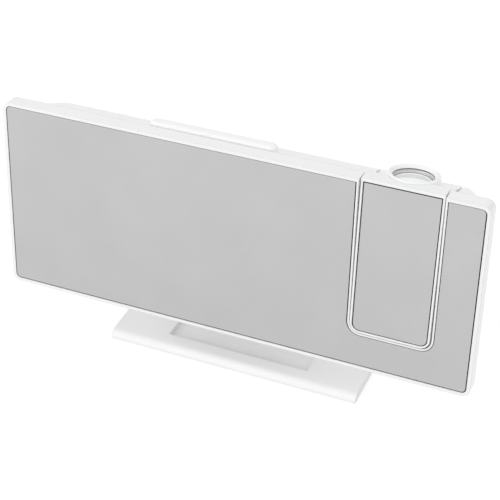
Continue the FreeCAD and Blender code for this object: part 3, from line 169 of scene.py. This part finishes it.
def brushed_effect():
    """fine lines along X, as on drawn or brushed metal"""
    tree, given, made = new_group(
        "brushed", [("Strength", 0.2)],
        [("Line", "NodeSocketFloat"), ("Normal", "NodeSocketVector")])
    place = add(tree, "ShaderNodeTexCoord").outputs["Object"]
    stretch = add(tree, "ShaderNodeMapping")
    stretch.inputs["Scale"].default_value = LINE_SCALE
    tree.links.new(place, stretch.inputs["Vector"])
    line = noise(tree, stretch.outputs["Vector"], 1.0, 3.0, 0.6)
    bump = add(tree, "ShaderNodeBump")
    bump.inputs["Distance"].default_value = BUMP_HEIGHT
    tree.links.new(given.outputs["Strength"], bump.inputs["Strength"])
    tree.links.new(line, bump.inputs["Height"])
    tree.links.new(line, made.inputs["Line"])
    tree.links.new(bump.outputs["Normal"], made.inputs["Normal"])
    return tree


def mottled_effect():
    """the faint unevenness of a reflecting film, in the face's own plane"""
    tree, given, made = new_group(
        "mottled", [("Depth", 0.1)],
        [("Patch", "NodeSocketFloat"), ("Fleck", "NodeSocketFloat"),
         ("Normal", "NodeSocketVector")])
    place = add(tree, "ShaderNodeTexCoord").outputs["Object"]
    patch = noise(tree, place, PATCH_SCALE, 4.0, 0.55)
    fleck = noise(tree, place, FLECK_SCALE, 3.0, 0.6)
    both = math_node(tree, "ADD", patch, math_node(tree, "MULTIPLY", fleck, FLECK_SHARE))
    bump = add(tree, "ShaderNodeBump")
    bump.inputs["Distance"].default_value = FILM_HEIGHT
    tree.links.new(given.outputs["Depth"], bump.inputs["Strength"])
    tree.links.new(both, bump.inputs["Height"])
    tree.links.new(patch, made.inputs["Patch"])
    tree.links.new(fleck, made.inputs["Fleck"])
    tree.links.new(bump.outputs["Normal"], made.inputs["Normal"])
    return tree


# Materials

TRACK_SCALE = 260.0
TRACK_HEIGHT = 0.03 * MM
MASK_GRAIN = 700.0
PURE_BLACK = (0.0, 0.0, 0.0, 1.0)
PURE_WHITE = (1.0, 1.0, 1.0, 1.0)
MOULDED = moulded_effect()
BRUSHED = brushed_effect()
MOTTLED = mottled_effect()


def effect(tree, group, **numbers):
    """a shared effect in a material"""
    node = add(tree, "ShaderNodeGroup", node_tree=group)
    for name, number in numbers.items():
        node.inputs[name].default_value = number
    return node


def start_material(name):
    """a material with its shader"""
    made = bpy.data.materials.new(name)
    made.use_nodes = True
    return made, made.node_tree, made.node_tree.nodes["Principled BSDF"]


def two_tone(tree, value, first, second, low=NOISE_LOW, high=NOISE_HIGH):
    """a colour that goes from one tone to another as a value goes from low to high"""
    ramp = add(tree, "ShaderNodeValToRGB")
    ramp.color_ramp.elements[0].position = low
    ramp.color_ramp.elements[0].color = first
    ramp.color_ramp.elements[1].position = high
    ramp.color_ramp.elements[1].color = second
    tree.links.new(value, ramp.inputs["Fac"])
    return ramp.outputs["Color"]


def plastic(name, first, second, rough, grain=2600.0, depth=0.04, edge=0.3, coat=0.0):
    """moulded plastic between two near tones"""
    made, tree, shader = start_material(name)
    look = effect(tree, MOULDED, Grain=grain, Depth=depth, Edge=edge)
    tree.links.new(two_tone(tree, look.outputs["Flow"], first, second), shader.inputs["Base Color"])
    tree.links.new(uneven(tree, look.outputs["Flow"], rough - 0.03, rough + 0.03),
                   shader.inputs["Roughness"])
    tree.links.new(look.outputs["Normal"], shader.inputs["Normal"])
    shader.inputs["Coat Weight"].default_value = coat
    shader.inputs["Coat Roughness"].default_value = 0.08
    return made


def metal(name, first, second, rough, strength=0.2):
    """drawn or plated metal between two near tones"""
    made, tree, shader = start_material(name)
    look = effect(tree, BRUSHED, Strength=strength)
    tree.links.new(two_tone(tree, look.outputs["Line"], first, second), shader.inputs["Base Color"])
    tree.links.new(uneven(tree, look.outputs["Line"], rough - 0.06, rough + 0.08),
                   shader.inputs["Roughness"])
    tree.links.new(look.outputs["Normal"], shader.inputs["Normal"])
    shader.inputs["Metallic"].default_value = 1.0
    return made


def mirror_film():
    """the half mirror on the face: light grey and a little uneven"""
    made, tree, shader = start_material("mirror")
    look = effect(tree, MOTTLED, Depth=0.12)
    tree.links.new(two_tone(tree, look.outputs["Patch"], tone(187), tone(191)),
                   shader.inputs["Base Color"])
    tree.links.new(uneven(tree, look.outputs["Fleck"], 0.16, 0.24), shader.inputs["Roughness"])
    tree.links.new(look.outputs["Normal"], shader.inputs["Normal"])
    shader.inputs["Metallic"].default_value = 1.0
    return made


def clear(name, tint, rough, index):
    """clear moulded glass or acrylic with a faint flow in it"""
    made, tree, shader = start_material(name)
    look = effect(tree, MOULDED, Grain=400.0, Depth=0.02, Edge=0.15)
    tree.links.new(two_tone(tree, look.outputs["Flow"], tint, PURE_WHITE),
                   shader.inputs["Base Color"])
    tree.links.new(uneven(tree, look.outputs["Grain"], rough, rough + 0.03),
                   shader.inputs["Roughness"])
    tree.links.new(look.outputs["Normal"], shader.inputs["Normal"])
    shader.inputs["Transmission Weight"].default_value = 1.0
    shader.inputs["IOR"].default_value = index
    return made


def coated_glass():
    """the projection lens, whose bright coating throws back most of the light"""
    made, tree, shader = start_material("coated_lens")
    look = effect(tree, MOULDED, Grain=300.0, Depth=0.01, Edge=0.15)
    first, second = tone(243, 247, 248), tone(248, 250, 251)
    tree.links.new(two_tone(tree, look.outputs["Flow"], first, second), shader.inputs["Base Color"])
    tree.links.new(uneven(tree, look.outputs["Grain"], 0.03, 0.06), shader.inputs["Roughness"])
    tree.links.new(look.outputs["Normal"], shader.inputs["Normal"])
    shader.inputs["Metallic"].default_value = 0.55
    shader.inputs["IOR"].default_value = 1.5
    shader.inputs["Coat Weight"].default_value = 0.6
    shader.inputs["Coat Roughness"].default_value = 0.03
    return made


def circuit_board():
    """green solder mask over copper tracks"""
    made, tree, shader = start_material("circuit_board")
    place = add(tree, "ShaderNodeTexCoord").outputs["Object"]
    bricks = add(tree, "ShaderNodeTexBrick")
    bricks.inputs["Scale"].default_value = TRACK_SCALE
    bricks.inputs["Mortar Size"].default_value = 0.012
    bricks.inputs["Color1"].default_value = PURE_BLACK
    bricks.inputs["Color2"].default_value = (0.12, 0.12, 0.12, 1.0)
    bricks.inputs["Mortar"].default_value = PURE_WHITE
    turn = add(tree, "ShaderNodeMapping")
    turn.inputs["Rotation"].default_value = (math.pi / 2, 0.0, 0.0)
    tree.links.new(place, turn.inputs["Vector"])
    tree.links.new(turn.outputs["Vector"], bricks.inputs["Vector"])
    mask, track = tone(14, 82, 40), tone(40, 122, 62)
    tree.links.new(two_tone(tree, bricks.outputs["Color"], mask, track, 0.0, 1.0),
                   shader.inputs["Base Color"])
    tree.links.new(uneven(tree, noise(tree, place, MASK_GRAIN), 0.28, 0.4),
                   shader.inputs["Roughness"])
    bump = add(tree, "ShaderNodeBump")
    bump.inputs["Distance"].default_value = TRACK_HEIGHT
    bump.inputs["Strength"].default_value = 0.5
    tree.links.new(bricks.outputs["Color"], bump.inputs["Height"])
    tree.links.new(bump.outputs["Normal"], shader.inputs["Normal"])
    return made


BEZEL = plastic("white_gloss", tone(244), tone(247), 0.26, 1500.0, 0.008, 0.35, 0.35)
CASING = plastic("white_satin", tone(250), tone(252), 0.36, 2600.0, 0.02, 0.3, 0.1)
STAND = plastic("white_stand", tone(247), tone(250), 0.46, 1800.0, 0.012, 0.3)
BUTTON = plastic("button_grey", tone(222), tone(227), 0.42, 3200.0, 0.08, 0.3)
BLACK = plastic("black_matte", tone(26), tone(32), 0.5, 3600.0, 0.15, 0.2)
BARREL = plastic("barrel_grey", tone(238), tone(243), 0.42, 3000.0, 0.05, 0.15)
SWITCH = plastic("switch_black", tone(38), tone(45), 0.4, 3000.0, 0.1, 0.15)
REFLECTOR = plastic("reflector_white", tone(236), tone(241), 0.22, 2000.0, 0.03, 0.15)
DIFFUSER = plastic("diffuser", tone(222), tone(228), 0.55, 5200.0, 0.2, 0.1)
NYLON = plastic("nylon", tone(232, 229, 218), tone(238, 236, 227), 0.38, 2200.0, 0.06, 0.15)
PHOSPHOR = plastic("phosphor", tone(240, 226, 150), tone(247, 238, 186), 0.34, 4200.0, 0.06, 0.1)
RUBBER = plastic("rubber_black", tone(42), tone(52), 0.72, 5200.0, 0.3, 0.25)
STEEL = metal("plated_steel", tone(176), tone(196), 0.32, 0.15)
NICKEL = metal("nickel", tone(198, 194, 186), tone(212, 209, 202), 0.26, 0.1)
ALUMINIUM = metal("aluminium", tone(205), tone(222), 0.36, 0.3)
MIRROR = mirror_film()
LENS = coated_glass()
CONDENSER = clear("condenser_glass", tone(246, 250, 251), 0.02, 1.5)
SLIDE = clear("slide_film", tone(70, 70, 78), 0.1, 1.45)
BOARD = circuit_board()
# This dark grey serves the printed button marks and also the painted shade in the focus ring's
# mouth
PRINT_AND_SHADE = plastic("grey_print_and_shade", tone(96), tone(106), 0.5, 4000.0, 0.04, 0.05)
GOLD = metal("contact_gold", tone(208, 168, 92), tone(226, 190, 120), 0.24, 0.1)

LOOKS = {
    "front_bezel": BEZEL, "arm_front_frame": BEZEL, "focus_ring": CASING, "snooze_bar": CASING,
    "rear_casing": CASING, "arm_rear_shell": CASING, "cell_door": CASING,
    "stand_plate": STAND, "stand_neck": STAND,
    "mirror_panel": MIRROR, "arm_mirror": MIRROR,
    "display_diffuser": DIFFUSER, "display_reflector": REFLECTOR, "display_board": BOARD,
    "display_leds": PHOSPHOR, "projector_led": PHOSPHOR,
    "cell_tray": BLACK, "coin_cell": NICKEL, "cell_door_screw": STEEL,
    "snooze_board": BOARD, "button_board": BOARD, "main_board": BOARD,
    "snooze_switch": SWITCH, "button_switches": SWITCH,
    "board_header": BLACK, "clock_chip": BLACK, "buzzer": BLACK,
    "power_outlet": NICKEL, "power_inlet": NICKEL,
    "hinge_bush_left": NYLON, "hinge_bush_right": NYLON,
    "friction_washer_left": RUBBER, "friction_washer_right": RUBBER,
    "hinge_pin_left": STEEL, "hinge_pin_right": STEEL,
    "lens_barrel": BARREL, "lens_cell": BARREL, "projection_lens": LENS,
    "lamp_housing": BLACK, "image_slide": SLIDE, "condenser_lens": CONDENSER,
    "projector_board": BOARD, "heat_sink": ALUMINIUM,
    "rubber_feet": RUBBER, "stand_screws": STEEL, "case_screws": STEEL, "arm_screws": STEEL,
    "set_button": BUTTON, "alarm_button": BUTTON, "down_button": BUTTON, "up_button": BUTTON,
    "projector_button": BUTTON, "dimmer_button": BUTTON,
}
for name, look in LOOKS.items():
    mesh = NODES[name].data
    mesh.materials.clear()
    mesh.materials.append(look)


# New pieces: a thin black strip of painted shade just inside each mirror's edge comes first. It
# stands in for the shadow in the gap between mirror and frame and for the frame's dark reflection

SAME_POINT = 0.001 * MM
FLAT_ENOUGH = 0.999
NEAR_ENOUGH = 0.05 * MM


def piece(name, mesh_data, look, body):
    """a new object that rides on a body"""
    mesh = bpy.data.meshes.new(name)
    mesh_data.to_mesh(mesh)
    mesh_data.free()
    mesh.materials.append(look)
    for face in mesh.polygons:
        face.use_smooth = True
    made = bpy.data.objects.new(name, mesh)
    bpy.context.scene.collection.objects.link(made)
    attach(made, body)


def front_rim(node, facing, depth):
    """the outline of a node's flat face at a depth along its normal, as a ring of points"""
    source = bmesh.new()
    source.from_mesh(NODES[node].data)
    bmesh.ops.remove_doubles(source, verts=source.verts, dist=SAME_POINT)
    source.normal_update()
    flat = [face for face in source.faces
            if face.normal.dot(facing) > FLAT_ENOUGH
            and abs(face.calc_center_median().dot(facing) - depth) < NEAR_ENOUGH]
    chosen = set(flat)
    follow = {}
    for face in flat:
        for loop in face.loops:
            if not any(other in chosen for other in loop.edge.link_faces if other is not face):
                follow[loop.vert.index] = loop.link_loop_next.vert.index
    source.verts.ensure_lookup_table()
    rings = []
    while follow:
        first, second = follow.popitem()
        ring = [first, second]
        while ring[-1] in follow:
            ring.append(follow.pop(ring[-1]))
        rings.append(ring[:-1])
    longest = max(rings, key=len)
    points = [source.verts[number].co.copy() for number in longest]
    source.free()
    return points


def thicken(made, lift):
    """a flat form made solid by a copy of it that is moved away"""
    copied = bmesh.ops.extrude_face_region(made, geom=made.faces[:])
    raised = [part for part in copied["geom"] if isinstance(part, bmesh.types.BMVert)]
    bmesh.ops.translate(made, verts=raised, vec=lift)
    bmesh.ops.recalc_face_normals(made, faces=made.faces)


def edge_shade_strip(points, facing, widths, thick):
    """a thin flat dark strip just inside a sheet's edge, painted as the shade in the gap round it,
    with its own width at each side
    """
    left, right, low, high = widths
    made = bmesh.new()
    sheet = made.faces.new([made.verts.new(point) for point in points])
    sheet.normal_update()
    if sheet.normal.dot(facing) < 0:
        sheet.normal_flip()
    edge = {vert: vert.co.copy() for vert in made.verts}
    bmesh.ops.inset_region(made, faces=[sheet], thickness=max(widths), use_boundary=True,
                           use_even_offset=True)
    up = facing.cross(Vector((1, 0, 0))).normalized()
    up = up if up.z > 0 else -up
    for vert in sheet.verts:
        start = min(edge.values(), key=lambda co: (co - vert.co).length)
        inward = vert.co - start
        across = inward.x / max(widths)
        along = inward.dot(up) / max(widths)
        wide = left if across > 0 else right
        tall = low if along > 0 else high
        vert.co = start + Vector((across * wide, 0, 0)) + up * along * tall
    bmesh.ops.delete(made, geom=[sheet], context="FACES_ONLY")
    thicken(made, facing * thick)
    return made


# Widths of the painted shade are in millimetres, at the left, the right, the bottom and the top
EDGE_SHADES = (("mirror_edge_shade", "mirror_panel", CLOCK, (0.11, 0.36, 0.16, 0.1), "clock_body"),
         ("arm_mirror_edge_shade", "arm_mirror", ARM, (0.27, 0.32, 0.13, 0.38), "projector_arm"))
EDGE_SHADE_THICK = 0.05 * MM
MIRROR_INSET = Vector((0, 0.25 * MM, 0))
for shade_strip_name, sheet_node, place, shade_strip_widths, shade_strip_body in EDGE_SHADES:
    front = (place.to_3x3() @ Vector((0, -1, 0))).normalized()
    path = front_rim(sheet_node, front, (place @ MIRROR_INSET).dot(front))
    strip = edge_shade_strip(path, front, [width * MM for width in shade_strip_widths], EDGE_SHADE_THICK)
    # The black strip is painted shade and not a real gasket
    piece(shade_strip_name, strip, BLACK, shade_strip_body)


# Bands in the focus ring's mouth and round the lens: two radii, then two heights, in millimetres.
# The dark grey band in the mouth is painted shade, for the shadow under the ring's lip

MOUTH_SHADE_BAND = (7.9, 8.03, -1.5, -1.22)
LENS_BAND = (7.58, 7.72, -2.7, -2.28)
BAND_STEPS = 96


def band(inner, outer, low, high):
    """a closed ring of oblong section about the lens axis"""
    made = bmesh.new()
    corners = [made.verts.new((across, 0, along))
               for across, along in ((inner, low), (outer, low), (outer, high), (inner, high))]
    for start, end in zip(corners, corners[1:] + corners[:1]):
        made.edges.new((start, end))
    bmesh.ops.spin(made, geom=made.verts[:] + made.edges[:], cent=(0, 0, 0), axis=(0, 0, 1),
                   dvec=(0, 0, 0), angle=2 * math.pi, steps=BAND_STEPS, use_merge=True)
    bmesh.ops.recalc_face_normals(made, faces=made.faces)
    bmesh.ops.transform(made, matrix=OPTICS @ Matrix.Scale(MM, 4), verts=made.verts)
    return made


# Painted shade: a dark grey band for the shadow under the focus ring's lip
piece("mouth_shade_band", band(*MOUTH_SHADE_BAND), PRINT_AND_SHADE, "focus_ring")
piece("lens_band", band(*LENS_BAND), BARREL, "lens_carrier")


# Raised marks on the back buttons, in millimetres from the button's middle

MARK_TALL = 0.16
BUTTON_BACK = 28.96
BUTTON_ROW = 18.0
RAY_REACH = 2.3
RAY_TURNS = [45.0 * ray for ray in range(8)]
RAYS = [dict(sides=4, radius=0.3, across=RAY_REACH * math.sin(math.radians(turn)),
             along=RAY_REACH * math.cos(math.radians(turn)), turn=turn) for turn in RAY_TURNS]
MARKS = {
    "set_button": [dict(sides=32, radius=2.1, hole=1.6),
                   dict(sides=24, radius=0.6)],
    "alarm_button": [dict(sides=32, radius=1.5, along=0.4),
                     dict(sides=4, radius=1.0, along=-1.1, wide=2.6, tall=0.5, turn=45.0),
                     dict(sides=16, radius=0.4, along=-1.95)],
    "down_button": [dict(sides=3, radius=1.9, turn=180.0)],
    "up_button": [dict(sides=3, radius=1.9)],
    "projector_button": [dict(sides=24, radius=0.6, along=-1.8),
                         dict(sides=3, radius=1.7, along=0.5, turn=180.0)],
    "dimmer_button": [dict(sides=24, radius=1.2)] + RAYS,
}


def flat_form(made, sides, radius, across=0.0, along=0.0, wide=1.0, tall=1.0, turn=0.0, hole=0.0):
    """a flat round or cornered form added to a mark"""
    place = (Matrix.Translation((across, along, 0)) @ Matrix.Diagonal((wide, tall, 1, 1))
             @ Matrix.Rotation(math.radians(turn), 4, "Z"))
    known = set(made.faces)
    bmesh.ops.create_circle(made, cap_ends=True, segments=sides, radius=radius, matrix=place)
    face = next(new for new in made.faces if new not in known)
    if hole:
        bmesh.ops.inset_region(made, faces=[face], thickness=radius - hole, use_boundary=True)
        bmesh.ops.delete(made, geom=[face], context="FACES_ONLY")


def raised_mark(button, forms):
    """a button's mark, raised from its back face"""
    made = bmesh.new()
    for form in forms:
        flat_form(made, **form)
    thicken(made, (0, 0, MARK_TALL))
    low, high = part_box(button)
    middle = CLOCK.inverted() @ ((Vector(low) + Vector(high)) / 2)
    spot = Matrix.Translation((middle.x, BUTTON_BACK * MM, BUTTON_ROW * MM))
    outward = Matrix.Rotation(-math.pi / 2, 4, "X") @ Matrix.Rotation(math.pi, 4, "Z")
    bmesh.ops.transform(made, matrix=CLOCK @ spot @ outward @ Matrix.Scale(MM, 4), verts=made.verts)
    piece(button.replace("button", "mark"), made, PRINT_AND_SHADE, button)


for button_name, mark_forms in MARKS.items():
    raised_mark(button_name, mark_forms)


# Tongues and contacts in the two sockets, in millimetres from the face


def blocks(rows, rounding):
    """small boxes with rounded edges, each from its middle and its size"""
    made = bmesh.new()
    for middle, size in rows:
        place = Matrix.Translation(middle) @ Matrix.Diagonal((*size, 1))
        bmesh.ops.create_cube(made, size=1.0, matrix=place)
    bmesh.ops.bevel(made, geom=made.edges[:], offset=rounding, offset_type="OFFSET", segments=2,
                    profile=0.5, affect="EDGES", material=-1)
    bmesh.ops.transform(made, matrix=CLOCK @ Matrix.Scale(MM, 4), verts=made.verts)
    return made


OUTLET_MIDDLE = Vector((21.0, 22.2, -17.0))
INLET_MIDDLE = Vector((2.0, 22.2, -17.0))
OUTLET_TONGUE = [(OUTLET_MIDDLE, (9.7, 9.1, 1.5))]
INLET_TONGUE = [(INLET_MIDDLE, (6.1, 9.1, 0.78))]
OUTLET_CONTACTS = [(OUTLET_MIDDLE + Vector((2.3 * (row - 1.5), 0.2, -0.74)), (1.1, 7.6, 0.14))
                   for row in range(4)]
INLET_CONTACTS = [(INLET_MIDDLE + Vector((0.5 * (row - 4.5), 0.4, side * 0.39)), (0.24, 7.0, 0.1))
                  for row in range(10) for side in (-1, 1)]
piece("outlet_tongue", blocks(OUTLET_TONGUE, 0.12), SWITCH, "clock_body")
piece("inlet_tongue", blocks(INLET_TONGUE, 0.1), SWITCH, "clock_body")
piece("outlet_contacts", blocks(OUTLET_CONTACTS, 0.03), GOLD, "clock_body")
piece("inlet_contacts", blocks(INLET_CONTACTS, 0.02), GOLD, "clock_body")


# Camera, light and floor

# The camera was solved on the face's corners. Its place and axes are in the face's frame, and
# FOCAL and FRAME_WIDE are in pixels
FRAME_WIDE = 500
SENSOR_WIDE = 36.0
FOCAL = 1475.56
CAMERA_SPOT = Vector((200.81, -463.27, 295.62)) * MM
RIGHT = Vector((0.9175, 0.39685, 0.02466))
DOWN = Vector((0.2208, -0.45692, -0.8616))
AHEAD = Vector((-0.3307, 0.79597, -0.5069))
lens_data = bpy.data.cameras.new("camera")
lens_data.sensor_width = SENSOR_WIDE
lens_data.lens = SENSOR_WIDE * FOCAL / FRAME_WIDE
lens_data.clip_start = 0.01
lens_data.clip_end = 50.0
camera = bpy.data.objects.new("camera", lens_data)
bpy.context.scene.collection.objects.link(camera)
axes = Matrix((RIGHT.normalized(), -DOWN.normalized(), -AHEAD.normalized())).transposed().to_4x4()
camera.matrix_world = CLOCK @ Matrix.Translation(CAMERA_SPOT) @ axes
bpy.context.scene.camera = camera

# World brightness, where 1 is white. In glossy surfaces, a band low down behind is darker
HORIZON = 0.84
ZENITH = 0.86
ZENITH_FROM = 0.9
DARK_DEPTH = 0.34
DARK_FROM, DARK_FULL = -0.1, 0.3
DARK_TOP, DARK_END = 0.24, 0.27
world = bpy.data.worlds.new("studio")
bpy.context.scene.world = world
world.use_nodes = True
sky = world.node_tree
background = sky.nodes["Background"]
background.inputs["Color"].default_value = PURE_WHITE
way = add(sky, "ShaderNodeSeparateXYZ")
sky.links.new(add(sky, "ShaderNodeTexCoord").outputs["Generated"], way.inputs["Vector"])
height = spread(sky, way.outputs["Z"], 0.0, ZENITH_FROM, HORIZON, ZENITH)
behind = spread(sky, way.outputs["Y"], DARK_FROM, DARK_FULL, 0.0, DARK_DEPTH)
low_band = spread(sky, way.outputs["Z"], DARK_TOP, DARK_END, 1.0, 0.0)
seen = add(sky, "ShaderNodeLightPath")
mirrored = math_node(sky, "SUBTRACT", 1.0, math_node(sky, "MULTIPLY", behind, low_band))
level = spread(sky, seen.outputs["Is Glossy Ray"], 0.0, 1.0, height, mirrored)
sky.links.new(spread(sky, seen.outputs["Is Camera Ray"], 0.0, 1.0, level, 1.0),
              background.inputs["Strength"])


def softbox(name, spot, target, size, power):
    """an area light that faces a point"""
    data = bpy.data.lights.new(name, "AREA")
    data.shape = "RECTANGLE"
    data.size = size[0]
    data.size_y = size[1]
    data.energy = power
    made = bpy.data.objects.new(name, data)
    bpy.context.scene.collection.objects.link(made)
    made.location = spot
    made.rotation_euler = (Vector(target) - Vector(spot)).to_track_quat("-Z", "Y").to_euler()


# Places and sizes are in metres, and the power is in watts
softbox("key", spot=(-0.35, -1.0, 0.6), target=(0, 0, 0.04), size=(1.0, 0.6), power=3.4)

# The floor glows a little, and more where the camera or a glossy surface sees it
FLOOR_HALF = 6.0
FLOOR_GREY = (0.5, 0.5, 0.5, 1.0)
FLOOR_GLOW = 0.24
FLOOR_GLOW_SEEN = 0.62
ground = bmesh.new()
bmesh.ops.create_grid(ground, x_segments=8, y_segments=8, size=FLOOR_HALF)
ground_mesh = bpy.data.meshes.new("floor")
ground.to_mesh(ground_mesh)
ground.free()
floor = bpy.data.objects.new("floor", ground_mesh)
bpy.context.scene.collection.objects.link(floor)
floor_look = bpy.data.materials.new("floor")
floor_look.use_nodes = True
floor_tree = floor_look.node_tree
floor_shader = floor_tree.nodes["Principled BSDF"]
floor_shader.inputs["Base Color"].default_value = FLOOR_GREY
floor_shader.inputs["Roughness"].default_value = 1.0
floor_shader.inputs["Specular IOR Level"].default_value = 0.0
floor_shader.inputs["Emission Color"].default_value = PURE_WHITE
floor_seen = add(floor_tree, "ShaderNodeLightPath")
floor_plain = math_node(floor_tree, "MAXIMUM", floor_seen.outputs["Is Camera Ray"],
                        floor_seen.outputs["Is Glossy Ray"])
floor_tree.links.new(spread(floor_tree, floor_plain, 0.0, 1.0, FLOOR_GLOW, FLOOR_GLOW_SEEN),
                     floor_shader.inputs["Emission Strength"])
# From below the floor is see-through
below = add(floor_tree, "ShaderNodeMixShader")
side = add(floor_tree, "ShaderNodeNewGeometry")
floor_tree.links.new(side.outputs["Backfacing"], below.inputs["Fac"])
floor_tree.links.new(floor_shader.outputs["BSDF"], below.inputs[1])
floor_tree.links.new(add(floor_tree, "ShaderNodeBsdfTransparent").outputs["BSDF"], below.inputs[2])
floor_tree.links.new(below.outputs["Shader"],
                     floor_tree.nodes["Material Output"].inputs["Surface"])
floor.data.materials.append(floor_look)

bpy.context.scene.view_settings.view_transform = "Standard"
